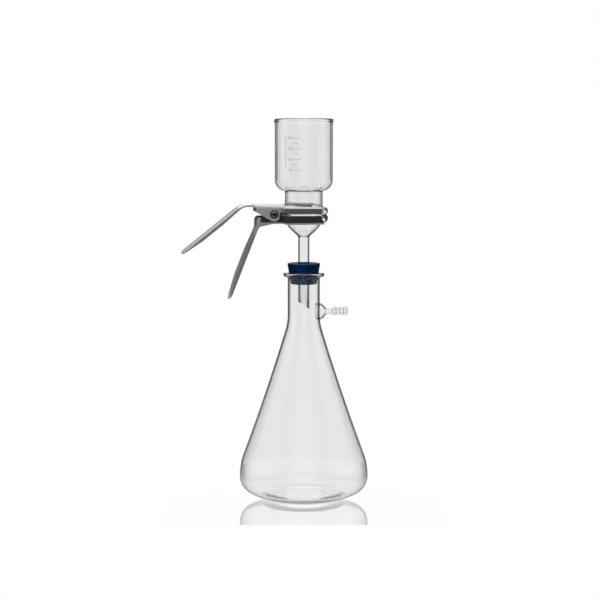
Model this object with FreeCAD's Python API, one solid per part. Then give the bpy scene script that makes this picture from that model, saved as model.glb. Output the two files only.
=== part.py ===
import FreeCAD, Part
import math
import os

# Vacuum filtration unit: side-arm flask, bored stopper, flanged base with its frit, flanged
# funnel, and the spring clamp that grips the two flanges. Millimetres, +Z up. The origin is on
# the flask's axis, on the surface that it stands on. The hose arm points to +X, the clamp's
# handles to -X.

V = FreeCAD.Vector
UP = V(0, 0, 1)
ORIGIN = V(0, 0, 0)

# Side-arm flask
flask_height = 287.0
flask_radius = 80.9
flask_wall = 2.5
heel_radius = 28.0          # rounding between the floor and the widest circle
belly_radius = 88.0         # rounding from the widest circle into the sloping side
side_angle = 18.8           # mean lean of the side from the vertical, degrees
side_hollow = 1.4           # how much the side's lean changes either way, degrees
shoulder_radius = 70.0      # hollow curve from the side into the neck
neck_radius = 20.4
lip_radius = 26.0
lip_height = 6.7
mouth_wall = 1.75           # glass left at the mouth, where the bore opens to take the stopper

# Hose arm on the flask's neck
arm_height = 238.0
arm_dome_radius = 11.0      # blown boss where the arm leaves the neck
arm_dome_inset = 2.9        # the boss's centre lies this far inside the neck's surface
arm_blend = 3.0
arm_radius = 3.6
arm_wall = 1.4
arm_stem = 6.1              # plain tube between the boss and the first rib
rib_count = 4
rib_pitch = 4.8
rib_rise = 1.7

# Stopper
stopper_length = 25.4
stopper_depth = 13.7        # length that goes down into the neck
stopper_taper = 0.16        # growth of radius per millimetre of height
stopper_edge = 0.8

# Filter base
joint_rise = 61.0           # from the stopper's top to the plane where base and funnel meet
flange_thickness = 9.0
flange_radius = 30.2
flange_bulge = 2.3          # how far the flange's rounded edge stands out past its flat faces
bowl_radius = 21.0
bowl_curve = 18.0
bowl_flare = 20.0
bowl_wall = 2.8
flange_blend = 2.4
stem_radius = 7.0
stem_wall = 1.75
stem_below = 32.0           # from the stopper's small end to the stem's long side
stem_bevel = 34.0           # slope of the cut across the stem's tip, degrees
frit_radius = 20.0
frit_thickness = 4.0

# Funnel
funnel_neck_radius = 23.4
funnel_neck_wall = 3.0
funnel_neck_length = 21.7
cup_radius = 36.0
cup_wall = 2.2
cup_height = 88.2
cup_corner = 12.0
cup_root = 2.0              # rounding between the neck and the underside of the cup
rim_radius = 37.5
rim_height = 6.8

# Clamp: sheet and fork
sheet = 1.6
bend = 3.0                  # outside radius between a jaw's web and its side walls
grip_clearance = 0.1        # between each jaw and the flange face that it presses on
tine_gap = 1.2              # between the flange's edge and a tine's side wall
slot_gap = 2.6              # between the funnel's neck and the slot's edge
shoulder_inset = 1.0        # the fork's back wall stands this far inside the flange's radius
shoulder_corner = 8.0

# Clamp: pivot
pivot_standoff = 9.0        # from the flange's radius back to the pin's axis
pivot_rise = 1.5            # of the pin's axis above the plane where the flanges meet
pin_radius = 3.0
pin_running = 0.05
pin_head_radius = 5.25
pin_head_height = 1.9
washer_radius = 6.0
washer_thickness = 0.8
ear_half_width = 15.25
ear_clearance = 0.15

# Clamp: upper jaw
upper_tilt = 2.4            # degrees, tines down
upper_tine_reach = 18.0
upper_tine_wall = 8.3
upper_hollow = 3.0
lug_radius = 8.7
upper_back = 22.6           # from the pin back to the end of the tall side wall
upper_back_wall = 9.2
upper_neck_run = 8.0        # length over which the jaw narrows to its handle
upper_handle_angle = 40.7
upper_handle_bend = 20.0
upper_corner = 38.5         # from the pin back to where web and handle lines cross
upper_flange = 3.4

# Clamp: lower jaw
lower_tine_reach = 22.0
lower_tine_wall = 10.5
lower_tine_slant = 27.0     # lean of the tines' ends from the vertical, degrees
lower_hollow = 1.0
ear_radius = 7.5
lower_back = 21.1
lower_back_wall = 9.0
lower_back_round = 4.5
lower_slope = 12.0          # first fall of the web behind the pin, degrees
lower_slope_start = 0.8     # behind the pin
lower_slope_bend = 20.0
lower_handle_angle = 68.5
lower_handle_bend = 3.0
lower_corner = 17.9
lower_flange = 3.2
lower_neck_run = 8.0

# Clamp: handles
handle_length = 97.0        # from where web and handle lines cross to the tip
handle_half_width = 12.75
handle_flange = 4.8
handle_round = 8.0          # corner radius of the tip
handle_tip_flange = 2.2

# Torsion spring
wire_radius = 1.2
coil_gap = 0.5              # between the pin and the inside of the coil
coil_turns = 7
coil_pitch = 2.6
leg_reach = 24.0            # from the pin back to where the upper leg presses on its web
leg_past = 1.0              # of the lower leg's end past the bend that it presses on
leg_gap = 0.1               # between the legs and the jaws at rest

EPS = 1e-6
OVERLAP = 1.0

# Places worked out from the sizes above
mouth_radius = neck_radius - mouth_wall
bore_radius = neck_radius - flask_wall
stopper_top = flask_height - stopper_depth + stopper_length
stopper_bottom = flask_height - stopper_depth
joint_z = stopper_top + joint_rise
base_bottom_z = joint_z - flange_thickness
funnel_flange_z = joint_z + flange_thickness
cup_z = funnel_flange_z + funnel_neck_length
rim_z = cup_z + cup_height
stem_tip_z = stopper_bottom - stem_below
flange_flat_radius = flange_radius - flange_bulge

tine_half_width = flange_radius + tine_gap + sheet
slot_half_width = funnel_neck_radius + slot_gap
shoulder_x = -(flange_radius - shoulder_inset)
pivot_x = -(flange_radius + pivot_standoff)
pivot_z = joint_z + pivot_rise
lug_half_width = ear_half_width + ear_clearance + sheet

# The upper web touches the flange where the slot's edge leaves its flat face
touch_x = math.sqrt(max(0.0, flange_flat_radius ** 2 - slot_half_width ** 2))
touch_rise = funnel_flange_z + grip_clearance - pivot_z
tilt_rise = (touch_x - pivot_x) * math.sin(math.radians(upper_tilt))
upper_web_gap = (touch_rise + tilt_rise) / math.cos(math.radians(upper_tilt))
upper_pin_height = upper_web_gap + sheet
lower_web_z = base_bottom_z - grip_clearance - sheet
lower_pin_height = pivot_z - lower_web_z


# ---- outlines ---------------------------------------------------------------------------

def polar(centre, radius, degrees):
    """Point on a circle in a plane. A negative radius gives the point on the other side."""
    angle = math.radians(degrees)
    return (centre[0] + radius * math.cos(angle), centre[1] + radius * math.sin(angle))


def arc(centre, radius, start, end):
    """Arc of an outline, as the pair of points halfway along it and at its end."""
    return (polar(centre, radius, (start + end) / 2), polar(centre, radius, end))


def side(point):
    """Place a point of an outline in the XZ plane."""
    return V(point[0], 0, point[1])


def plan(point):
    """Place a point of an outline in the XY plane."""
    return V(point[0], point[1], 0)


def chain(start, steps, place):
    """Edges through the steps. A step is a point for a straight edge, or the pair from arc()."""
    edges = []
    here = start
    for step in steps:
        curved = isinstance(step[0], tuple)
        there = step[1] if curved else step
        if math.dist(here, there) < EPS:
            continue
        if curved:
            edges.append(Part.Arc(place(here), place(step[0]), place(there)).toShape())
        else:
            edges.append(Part.makeLine(place(here), place(there)))
        here = there
    return edges


def face(start, steps, place=side):
    """Flat face inside a closed outline."""
    return Part.Face(Part.Wire(chain(start, steps + [start], place)))


def turned(start, steps):
    """Solid of revolution about the flask's axis. Outlines are (radius, height)."""
    return face(start, steps).revolve(ORIGIN, UP, 360)


def across(start, steps, half_width):
    """Solid from a side outline, extruded the same distance to both sides of the XZ plane."""
    slab = face(start, steps)
    slab.translate(V(0, -half_width, 0))
    return slab.extrude(V(0, 2 * half_width, 0))


# ---- flask ------------------------------------------------------------------------------

def flask_side(inset):
    """Heel, belly, sloping side and shoulder up to the neck, moved into the glass by inset."""
    low = side_angle + side_hollow
    high = side_angle - side_hollow
    cos_low = math.cos(math.radians(low))
    cos_high = math.cos(math.radians(high))
    heel = (flask_radius - heel_radius, heel_radius)
    belly = (flask_radius - belly_radius, heel_radius)
    belly_top = polar(belly, belly_radius, low)
    shoulder_foot_radius = neck_radius + shoulder_radius * (1 - cos_high)
    side_radius = (belly_top[0] - shoulder_foot_radius) / (cos_high - cos_low)
    flank = polar(belly_top, side_radius, low)
    shoulder_foot = polar(flank, -side_radius, high)
    shoulder = polar(shoulder_foot, shoulder_radius, high)
    return [
        (heel[0], inset),
        arc(heel, heel_radius - inset, -90, 0),
        arc(belly, belly_radius - inset, 0, low),
        arc(flank, -(side_radius + inset), low, high),
        arc(shoulder, -(shoulder_radius + inset), high, 0),
    ]


def arm_side(inset):
    """Half outline of the hose arm along X, from inside the neck to the end of the last rib."""
    dome = (neck_radius - arm_dome_inset, 0.0)
    dome_radius = arm_dome_radius - inset
    tube = arm_radius - inset
    blend = arm_blend + inset
    reach = dome_radius + blend
    rise = tube + blend
    run = math.sqrt(reach ** 2 - rise ** 2)
    blend_centre = (dome[0] + run, rise)
    lift = math.degrees(math.atan2(rise, run))
    return [
        (dome[0], dome_radius),
        arc(dome, dome_radius, 90, lift),
        arc(blend_centre, blend, 180 + lift, 270),
    ]


def arm(inset, ribbed):
    """Hose arm as a solid of revolution about its own axis. The ribs hold the hose on."""
    steps = arm_side(inset)
    tube = arm_radius - inset
    tube_start = steps[-1][1][0]
    rib_start = tube_start + arm_stem
    end = rib_start + rib_count * rib_pitch
    if ribbed:
        for rib in range(rib_count):
            near = rib_start + rib * rib_pitch
            steps.append((near, tube))
            steps.append(((near + rib_pitch / 2, tube + rib_rise), (near + rib_pitch, tube)))
        steps.append((end, 0.0))
    else:
        steps.append((end + OVERLAP, tube))
        steps.append((end + OVERLAP, 0.0))
    solid = face((0.0, 0.0), [(0.0, steps[0][1])] + steps).revolve(ORIGIN, V(1, 0, 0), 360)
    solid.translate(V(0, 0, arm_height))
    return solid


def make_flask():
    """Blown flask: shell of even wall, rolled lip, mouth opened to the stopper's taper, arm."""
    bead = lip_height / 2
    bead_centre = (lip_radius - bead, flask_height - bead)
    outer = turned(
        (0.0, 0.0),
        flask_side(0.0)
        + [
            (neck_radius, flask_height - lip_height),
            (bead_centre[0], flask_height - lip_height),
            arc(bead_centre, bead, -90, 90),
            (0.0, flask_height),
        ],
    )
    seat_z = flask_height - (mouth_radius - bore_radius) / stopper_taper
    hollow = turned(
        (0.0, flask_wall),
        flask_side(flask_wall)
        + [
            (bore_radius, seat_z),
            (mouth_radius, flask_height),
            (mouth_radius, flask_height + OVERLAP),
            (0.0, flask_height + OVERLAP),
        ],
    )
    return outer.fuse(arm(0.0, True)).cut(hollow.fuse(arm(arm_wall, False))).removeSplitter()


# ---- stopper, base, frit, funnel --------------------------------------------------------

def make_stopper():
    """Tapered stopper whose flank meets the flask's mouth, with a hole gripping the stem."""
    small = mouth_radius - stopper_depth * stopper_taper
    large = small + stopper_length * stopper_taper
    body = turned(
        (stem_radius, stopper_bottom),
        [(small, stopper_bottom), (large, stopper_top), (stem_radius, stopper_top)],
    )
    rims = [e for e in body.Edges if len(e.Vertexes) == 1 and e.Curve.Radius > stem_radius + EPS]
    return body.makeFillet(stopper_edge, rims)


def flange_edge(low):
    """Barrel-shaped edge of a flange that starts at the height low, going up."""
    return [
        ((flange_radius, low + flange_thickness / 2), (flange_flat_radius, low + flange_thickness))
    ]


def bowl_side(radius, curve, flare, stem):
    """Bowl's side from its stem up to the flange: a flare out of the stem, then the bowl."""
    middle = (stem + flare + curve - radius) / (curve + flare)
    turn = math.degrees(math.acos(middle))
    drop = (curve + flare) * math.sin(math.radians(turn))
    bowl = (radius - curve, base_bottom_z)
    flare_centre = (stem + flare, base_bottom_z - drop)
    return [
        (stem, flare_centre[1]),
        arc(flare_centre, flare, 180, 180 - turn),
        arc(bowl, curve, -turn, 0),
    ]


def make_filter_base():
    """Flange, bowl and stem in one piece, with a seat for the frit and a bevelled tip."""
    outer = turned(
        (0.0, stem_tip_z),
        [(stem_radius, stem_tip_z)]
        + bowl_side(bowl_radius, bowl_curve, bowl_flare, stem_radius)
        + [(flange_flat_radius, base_bottom_z)]
        + flange_edge(base_bottom_z)
        + [(0.0, joint_z)],
    )
    root = [
        e
        for e in outer.Edges
        if len(e.Vertexes) == 1
        and abs(e.Vertexes[0].Z - base_bottom_z) < EPS
        and abs(e.Curve.Radius - bowl_radius) < EPS
    ]
    outer = outer.makeFillet(flange_blend, root)
    inner_stem = stem_radius - stem_wall
    seat_z = joint_z - frit_thickness
    hollow_radius = bowl_radius - bowl_wall
    hollow = turned(
        (0.0, stem_tip_z - OVERLAP),
        [(inner_stem, stem_tip_z - OVERLAP)]
        + bowl_side(hollow_radius, bowl_curve - bowl_wall, bowl_flare + stem_wall, inner_stem)
        + [
            (hollow_radius, seat_z),
            (frit_radius, seat_z),
            (frit_radius, joint_z + OVERLAP),
            (0.0, joint_z + OVERLAP),
        ],
    )
    past = stem_radius + OVERLAP
    rise = math.tan(math.radians(stem_bevel))
    bevel = across(
        (past, stem_tip_z - OVERLAP * rise),
        [
            (-past, stem_tip_z + (stem_radius + past) * rise),
            (-past, stem_tip_z - 2 * past),
            (past, stem_tip_z - 2 * past),
        ],
        past,
    )
    return outer.cut(hollow).cut(bevel)


def make_frit():
    """Sintered disc, flush with the top of the base's flange."""
    return Part.makeCylinder(frit_radius, frit_thickness, V(0, 0, joint_z - frit_thickness))


def make_funnel():
    """Flange, neck and straight cup in one piece, with a rolled rim."""
    bead = rim_height / 2
    neck_bore = funnel_neck_radius - funnel_neck_wall
    corner = (cup_radius - cup_corner, cup_z + cup_corner)
    inner_corner = cup_corner - cup_wall
    root = (funnel_neck_radius + cup_root, cup_z - cup_root)
    foot = (funnel_neck_radius + flange_blend, funnel_flange_z + flange_blend)
    rim_centre = (rim_radius - bead, rim_z - bead)
    inner_rim = (cup_radius - cup_wall, rim_z - bead)
    return turned(
        (neck_bore, joint_z),
        [(flange_flat_radius, joint_z)]
        + flange_edge(joint_z)
        + [
            (foot[0], funnel_flange_z),
            arc(foot, flange_blend, 270, 180),
            (funnel_neck_radius, root[1]),
            arc(root, cup_root, 180, 90),
            (corner[0], cup_z),
            arc(corner, cup_corner, -90, 0),
            (cup_radius, rim_z - rim_height),
            (rim_centre[0], rim_z - rim_height),
            arc(rim_centre, bead, -90, 90),
            (inner_rim[0] + bead / 2, rim_z),
            arc((inner_rim[0] + bead / 2, rim_z - bead / 2), bead / 2, 90, 180),
            (inner_rim[0], corner[1]),
            arc(corner, inner_corner, 0, -90),
            (neck_bore + cup_root, cup_z + cup_wall),
            arc((neck_bore + cup_root, cup_z + cup_wall - cup_root), cup_root, 90, 180),
        ],
    )


# ---- clamp jaws -------------------------------------------------------------------------
# Each jaw is made web down, with its outer face on the plane z = 0 and its walls upwards.
# The upper jaw is then turned over. Along X it is already in place.

def mirrored_face(start, steps):
    """Plan face from the outline of its +Y half, whose ends are joined straight across."""
    half = chain(start, steps, plan)
    other = [edge.mirror(ORIGIN, V(0, 1, 0)) for edge in half]
    last = steps[-1][1] if isinstance(steps[-1][0], tuple) else steps[-1]
    ends = [
        Part.makeLine(plan((x, -y)), plan((x, y)))
        for x, y in (start, last)
    ]
    return Part.Face(Part.Wire(Part.__sortEdges__(half + other + ends)))


def fork_plan(inset, tip_x, back_x, half_width, hollow):
    """Plan of the fork: two tines' outer sides, the rounded shoulder and the narrower body."""
    outer = tine_half_width - inset
    inner = half_width - inset
    back = shoulder_x + inset
    corner = shoulder_corner - inset
    concave = hollow + inset
    corner_centre = (back + corner, outer - corner)
    hollow_centre = (back - concave, inner + concave)
    return mirrored_face(
        (tip_x, outer),
        [
            (corner_centre[0], outer),
            arc(corner_centre, corner, 90, 180),
            (back, hollow_centre[1]),
            arc(hollow_centre, concave, 0, -90),
            (back_x, inner),
        ],
    )


def rim_edges(solid, open_ends):
    """Edges of a solid's lowest face, leaving out those that lie on the open ends."""
    low = solid.BoundBox.ZMin
    edges = []
    for edge in solid.Edges:
        box = edge.BoundBox
        at_end = any(abs(box.XMin - x) < 1e-4 and abs(box.XMax - x) < 1e-4 for x in open_ends)
        if box.ZMax < low + 1e-4 and not at_end:
            edges.append(edge)
    return edges


def tray(plan_at, ends, height):
    """Pressed tray: web, side walls and the rounded bend between them, open at both ends."""
    outside = plan_at(0.0, ends[0], ends[1]).extrude(V(0, 0, height))
    outside = outside.makeFillet(bend, rim_edges(outside, ends))
    past = (ends[0] + OVERLAP, ends[1] - OVERLAP)
    inside = plan_at(sheet, past[0], past[1]).extrude(V(0, 0, height))
    inside = inside.makeFillet(bend - sheet, rim_edges(inside, past))
    inside.translate(V(0, 0, sheet))
    return outside.cut(inside)


def slot(height):
    """Round-ended slot that slides round the neck, open at the tines' ends."""
    reach = max(upper_tine_reach, lower_tine_reach) + OVERLAP
    below = -OVERLAP
    span = height + 2 * OVERLAP
    run = Part.makeBox(reach, 2 * slot_half_width, span, V(0, -slot_half_width, below))
    return Part.makeCylinder(slot_half_width, span, V(0, 0, below)).fuse(run)


def fork(tip_x, half_width, hollow, wall):
    """Forked front of a jaw: the tray under its two tines with the slot taken out."""
    back_x = shoulder_x - hollow - OVERLAP

    def plan_at(inset, front, back):
        return fork_plan(inset, front, back, half_width, hollow)

    return tray(plan_at, (tip_x, back_x), wall).cut(slot(wall))


def web_bend(corner, fall_in, fall_out, radius):
    """Centre and signed radius of a bend in the web, which runs towards -X.

    The falls are the web's slopes before and after the bend. The radius is that of the web's
    outer face, and it is negative where the web bends towards its own side walls.
    """
    tangent = radius * math.tan(math.radians(abs(fall_out - fall_in) / 2))
    start = polar(corner, tangent, fall_in)
    signed = radius if fall_out > fall_in else -radius
    return polar(start, -signed, 90 + fall_in), signed


def web_arc(centre, signed, offset, fall_in, fall_out):
    """Bend's outline at a height above the web's outer face: its start, then its arc."""
    radius = signed + offset
    return [polar(centre, radius, 90 + fall_in), arc(centre, radius, 90 + fall_in, 90 + fall_out)]


def path_edges(solid, half_width, path):
    """Long edges of a web's outer face, on both sides, for the bends of its side walls."""
    probe = Part.Wire(chain(path[0], path[1:], side))
    edges = []
    for edge in solid.Edges:
        y = edge.CenterOfMass.y
        if abs(abs(y) - half_width) > 1e-4 or edge.BoundBox.YLength > 1e-3:
            continue
        middle = edge.valueAt((edge.FirstParameter + edge.LastParameter) / 2)
        point = Part.Vertex(V(middle.x, 0, middle.z))
        if probe.distToShape(point)[0] < 1e-4:
            edges.append(edge)
    return edges


def channel(path, top, inner_path, inner_top, half_width):
    """Folded channel: web along a path and two side walls, which end at the outline's top."""
    outside = across(path[0], path[1:] + top, half_width)
    outside = outside.makeFillet(bend, path_edges(outside, half_width, path))
    inner_half = half_width - sheet
    inside = across(inner_path[0], inner_path[1:] + inner_top, inner_half)
    inside = inside.makeFillet(bend - sheet, path_edges(inside, inner_half, inner_path))
    return outside.cut(inside)


def strip_plan(inset, front, back, narrowing, run, tip):
    """Plan of a strip along -X from x = 0, narrowed by an S-curve, with a rounded or open end."""
    wide, narrow = narrowing
    steps = []
    if wide > narrow:
        step = wide - narrow
        curve = (run ** 2 + step ** 2) / (4 * step)
        swing = math.degrees(math.asin(run / 2 / curve))
        steps += [
            (0.0, wide - inset),
            arc((0.0, wide - curve), curve - inset, 90, 90 + swing),
            arc((-run, narrow + curve), curve + inset, swing - 90, -90),
        ]
    if tip > 0:
        centre = (back + tip, narrow - tip)
        steps += [(centre[0], narrow - inset), arc(centre, tip - inset, 90, 180)]
    else:
        steps.append((back, narrow - inset))
    return mirrored_face((front, wide - inset), steps)


def strip(length, narrowing, run, tip, heights):
    """Flanged strip along -X from x = 0. Heights gives its flange's outline as steps."""
    tall = 3 * bend
    closed = tip > 0

    def outer_plan():
        return strip_plan(0.0, 0.0, -length, narrowing, run, tip)

    def inner_plan():
        back = -length if closed else -length - OVERLAP
        return strip_plan(sheet, OVERLAP, back, narrowing, run, tip)

    outside = outer_plan().extrude(V(0, 0, tall))
    outside = outside.makeFillet(bend, rim_edges(outside, (0.0,) if closed else (0.0, -length)))
    inside = inner_plan().extrude(V(0, 0, tall))
    inner_ends = (OVERLAP,) if closed else (OVERLAP, -length - OVERLAP)
    inside = inside.makeFillet(bend - sheet, rim_edges(inside, inner_ends))
    inside.translate(V(0, 0, sheet))
    keep = across((OVERLAP, -OVERLAP), heights, narrowing[0] + OVERLAP)
    return outside.cut(inside).common(keep)


def handle(start, fall, length, narrowing, run, flange):
    """Jaw's handle from the end of its bend: flanges deepen to the middle, then run out."""
    heights = [
        (OVERLAP, flange),
        (0.0, flange),
        (-length / 3, handle_flange),
        (-length * 2 / 3, handle_flange),
        (-length - OVERLAP, handle_tip_flange),
        (-length - OVERLAP, -OVERLAP),
    ]
    piece = strip(length, narrowing, run, handle_round, heights)
    piece.rotate(ORIGIN, V(0, 1, 0), -fall)
    piece.translate(side(start))
    return piece


def pin_hole(radius, height):
    """Cutter for the pin, through both side walls of a jaw."""
    reach = lug_half_width + OVERLAP
    return Part.makeCylinder(radius, 2 * reach, V(pivot_x, -reach, height), V(0, 1, 0))


def lug_outline(radius, height, front_x, start):
    """Rounded ear about the pin, from the angle start over the top to its front."""
    reach = min(1.0, (front_x - pivot_x) / radius)
    front = math.degrees(math.acos(reach))
    return arc((pivot_x, height), radius, start, front)


def lower_bends():
    """The two bends of the lower jaw's web: the gentle fall behind the pin, then the handle."""
    kink = (pivot_x - lower_slope_start, 0.0)
    fall = math.tan(math.radians(lower_slope))
    corner = (pivot_x - lower_corner, -(lower_corner - lower_slope_start) * fall)
    first = web_bend(kink, 0.0, lower_slope, lower_slope_bend)
    second = web_bend(corner, lower_slope, lower_handle_angle, lower_handle_bend)
    return first, second


def make_lower_jaw():
    """Level jaw under the base's flange. Its ears fit inside the upper jaw's lugs."""
    front_x = shoulder_x - lower_hollow
    back_x = pivot_x - lower_back
    first, second = lower_bends()

    def path_at(offset, front):
        return (
            [(front, offset)]
            + web_arc(*first, offset, 0.0, lower_slope)
            + web_arc(*second, offset, lower_slope, lower_handle_angle)
        )

    end_angle = 90 + lower_handle_angle
    centre, signed = second
    past = 4 * lower_back
    body = channel(
        path_at(0.0, front_x),
        [
            polar(centre, signed + lower_flange, end_angle),
            (back_x, lower_back_wall - lower_back_round),
            arc(
                (back_x + lower_back_round, lower_back_wall - lower_back_round),
                lower_back_round,
                180,
                90,
            ),
            (pivot_x - ear_radius, lower_back_wall),
            (pivot_x - ear_radius, lower_pin_height),
            lug_outline(ear_radius, lower_pin_height, front_x, 180),
            (min(front_x, pivot_x + ear_radius), lower_tine_wall),
            (front_x, lower_tine_wall),
        ],
        path_at(sheet, front_x + OVERLAP),
        [
            polar(centre, signed + past, end_angle),
            (pivot_x - past, past),
            (front_x + OVERLAP, past),
        ],
        ear_half_width,
    )
    front = fork(lower_tine_reach, ear_half_width, lower_hollow, lower_tine_wall)
    slant = math.tan(math.radians(lower_tine_slant))
    front = front.cut(
        across(
            (lower_tine_reach + OVERLAP * slant, -OVERLAP),
            [
                (lower_tine_reach + past, -OVERLAP),
                (lower_tine_reach + past, past),
                (lower_tine_reach - past * slant, past),
            ],
            tine_half_width + OVERLAP,
        )
    )
    tangent = lower_handle_bend * math.tan(math.radians((lower_handle_angle - lower_slope) / 2))
    grip = handle(
        polar(centre, signed, end_angle),
        lower_handle_angle,
        handle_length - tangent,
        (ear_half_width, handle_half_width),
        lower_neck_run,
        lower_flange,
    )
    jaw = front.fuse([body, grip]).cut(pin_hole(pin_radius + pin_running, lower_pin_height))
    jaw = jaw.removeSplitter()
    jaw.translate(V(0, 0, lower_web_z))
    return jaw


def make_upper_jaw():
    """Jaw over the funnel's flange, tilted so that its tines' webs come down on the glass."""
    pin_height = upper_pin_height
    front_x = shoulder_x - upper_hollow
    back_x = pivot_x - upper_back
    past = 2 * pin_height

    away = math.hypot(upper_back, pin_height - upper_back_wall)
    toward = 180 + math.degrees(math.atan2(pin_height - upper_back_wall, upper_back))
    tangent_angle = toward - math.degrees(math.acos(lug_radius / away))
    body = channel(
        [(front_x, 0.0), (back_x, 0.0)],
        [
            (back_x, upper_back_wall),
            polar((pivot_x, pin_height), lug_radius, tangent_angle),
            lug_outline(lug_radius, pin_height, front_x, tangent_angle),
            (min(front_x, pivot_x + lug_radius), upper_tine_wall),
            (front_x, upper_tine_wall),
        ],
        [(front_x + OVERLAP, sheet), (back_x - OVERLAP, sheet)],
        [(back_x - OVERLAP, past), (front_x + OVERLAP, past)],
        lug_half_width,
    )
    front = fork(upper_tine_reach, lug_half_width, upper_hollow, upper_tine_wall)

    corner = (pivot_x - upper_corner, 0.0)
    fall = -upper_handle_angle
    centre, signed = web_bend(corner, 0.0, fall, upper_handle_bend)
    neck_length = back_x - centre[0]
    neck = strip(
        neck_length,
        (lug_half_width, handle_half_width),
        upper_neck_run,
        0.0,
        [
            (OVERLAP, upper_flange),
            (-neck_length - OVERLAP, upper_flange),
            (-neck_length - OVERLAP, -OVERLAP),
        ],
    )
    neck.translate(V(back_x, 0, 0))

    outer_arc = web_arc(centre, signed, 0.0, 0.0, fall)
    top_arc = web_arc(centre, signed, upper_flange, fall, 0.0)
    inner_arc = web_arc(centre, signed, sheet, 0.0, fall)
    past_arc = web_arc(centre, signed, upper_flange + OVERLAP, fall, 0.0)
    elbow = channel(outer_arc, top_arc, inner_arc, past_arc, handle_half_width)

    tangent = upper_handle_bend * math.tan(math.radians(upper_handle_angle / 2))
    grip = handle(
        outer_arc[1][1],
        fall,
        handle_length - tangent,
        (handle_half_width, handle_half_width),
        0.0,
        upper_flange,
    )
    jaw = front.fuse([body, neck, elbow, grip]).cut(pin_hole(pin_radius, pin_height))
    jaw = jaw.removeSplitter()
    jaw.rotate(ORIGIN, V(1, 0, 0), 180)
    jaw.translate(V(0, 0, pivot_z + pin_height))
    jaw.rotate(V(pivot_x, 0, pivot_z), V(0, 1, 0), upper_tilt)
    return jaw


# ---- pivot pin and spring ---------------------------------------------------------------

def make_pivot_pin():
    """Rivet pin: domed head on the near side, shank through both jaws, domed tail beyond."""
    near = lug_half_width
    far = lug_half_width + washer_thickness
    dome = (pin_head_radius ** 2 + pin_head_height ** 2) / (2 * pin_head_height)
    spread = math.degrees(math.asin(pin_head_radius / dome))
    steps = []
    head_centre = (0.0, -(near + pin_head_height - dome))
    tail_centre = (0.0, far + pin_head_height - dome)
    steps.append(arc(head_centre, -dome, 90, 90 + spread))
    steps += [(pin_radius, -near), (pin_radius, far), (pin_head_radius, far)]
    steps.append(arc(tail_centre, dome, 90 - spread, 90))
    pin = face((0.0, -(near + pin_head_height)), steps).revolve(ORIGIN, UP, 360)
    pin.rotate(ORIGIN, V(1, 0, 0), -90)
    pin.translate(V(pivot_x, 0, pivot_z))
    return pin


def make_pin_washer():
    """Flat washer between the far lug and the pin's formed tail."""
    start = V(pivot_x, lug_half_width, pivot_z)
    along = V(0, 1, 0)
    disc = Part.makeCylinder(washer_radius, washer_thickness, start, along)
    return disc.cut(Part.makeCylinder(pin_radius, washer_thickness, start, along))


def make_spring():
    """Torsion spring on the pin: one wire with a close coil and a straight leg at each end.

    The upper leg presses on the upper jaw's web and the lower leg on the inside of the bend
    into the lower handle, so that the spring drives the handles apart. Seen from the near
    side, the wire turns anticlockwise from the lower leg to the upper one.
    """
    coil = pin_radius + coil_gap + wire_radius
    off = wire_radius + leg_gap
    web_angle = 90 - upper_tilt
    upper_end = polar(polar((0.0, 0.0), leg_reach, web_angle + 90), upper_web_gap - off, web_angle)
    upper_away = math.hypot(*upper_end)
    upper_at = math.degrees(math.atan2(upper_end[1], upper_end[0]) - math.acos(coil / upper_away))
    upper_leg = math.sqrt(upper_away ** 2 - coil ** 2)

    centre = lower_bends()[1][0]
    across_x = centre[0] - pivot_x
    across_z = centre[1] - lower_pin_height
    bend_away = math.hypot(across_x, across_z)
    reach = coil + lower_handle_bend + sheet + off
    lower_at = math.degrees(math.atan2(across_z, across_x) + math.acos(reach / bend_away))
    lower_leg = math.sqrt(bend_away ** 2 - reach ** 2) + leg_past

    turn = upper_at - lower_at + 360 * coil_turns
    width = coil_pitch * turn / 360
    lead = math.atan(coil_pitch / (2 * math.pi * coil))

    def on_coil(angle, z):
        """Point of the wire's axis and its direction, with the coil's axis upright."""
        a = math.radians(angle)
        point = V(coil * math.cos(a), coil * math.sin(a), z)
        heading = V(-math.sin(a), math.cos(a), math.tan(lead)).normalize()
        return point, heading

    start, start_heading = on_coil(lower_at, -width / 2)
    end, end_heading = on_coil(upper_at, width / 2)
    helix = Part.makeHelix(coil_pitch, width, coil)
    helix.rotate(ORIGIN, UP, lower_at)
    helix.translate(V(0, 0, -width / 2))
    tail = start - start_heading * lower_leg
    wire = Part.Wire(
        [Part.makeLine(tail, start)]
        + helix.Edges
        + [Part.makeLine(end, end + end_heading * upper_leg)]
    )
    section = Part.Wire(Part.makeCircle(wire_radius, tail, start_heading))
    spring = wire.makePipeShell([section], True, True)
    spring.rotate(ORIGIN, V(1, 0, 0), 90)
    spring.translate(V(pivot_x, 0, pivot_z))
    return spring


PIECES = {
    "flask": make_flask,
    "stopper": make_stopper,
    "filter_base": make_filter_base,
    "frit_disc": make_frit,
    "funnel": make_funnel,
    "upper_jaw": make_upper_jaw,
    "lower_jaw": make_lower_jaw,
    "pivot_pin": make_pivot_pin,
    "pin_washer": make_pin_washer,
    "torsion_spring": make_spring,
}

os.makedirs("parts", exist_ok=True)
for node, make in PIECES.items():
    shape = make()
    shape.exportStep("parts/" + node + ".step")
    box = shape.BoundBox
    print(
        node, shape.ShapeType, len(shape.Solids), shape.isValid(), round(shape.Volume, 1),
        [round(v, 1) for v in (box.XMin, box.XMax, box.YMin, box.YMax, box.ZMin, box.ZMax)],
    )
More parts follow.
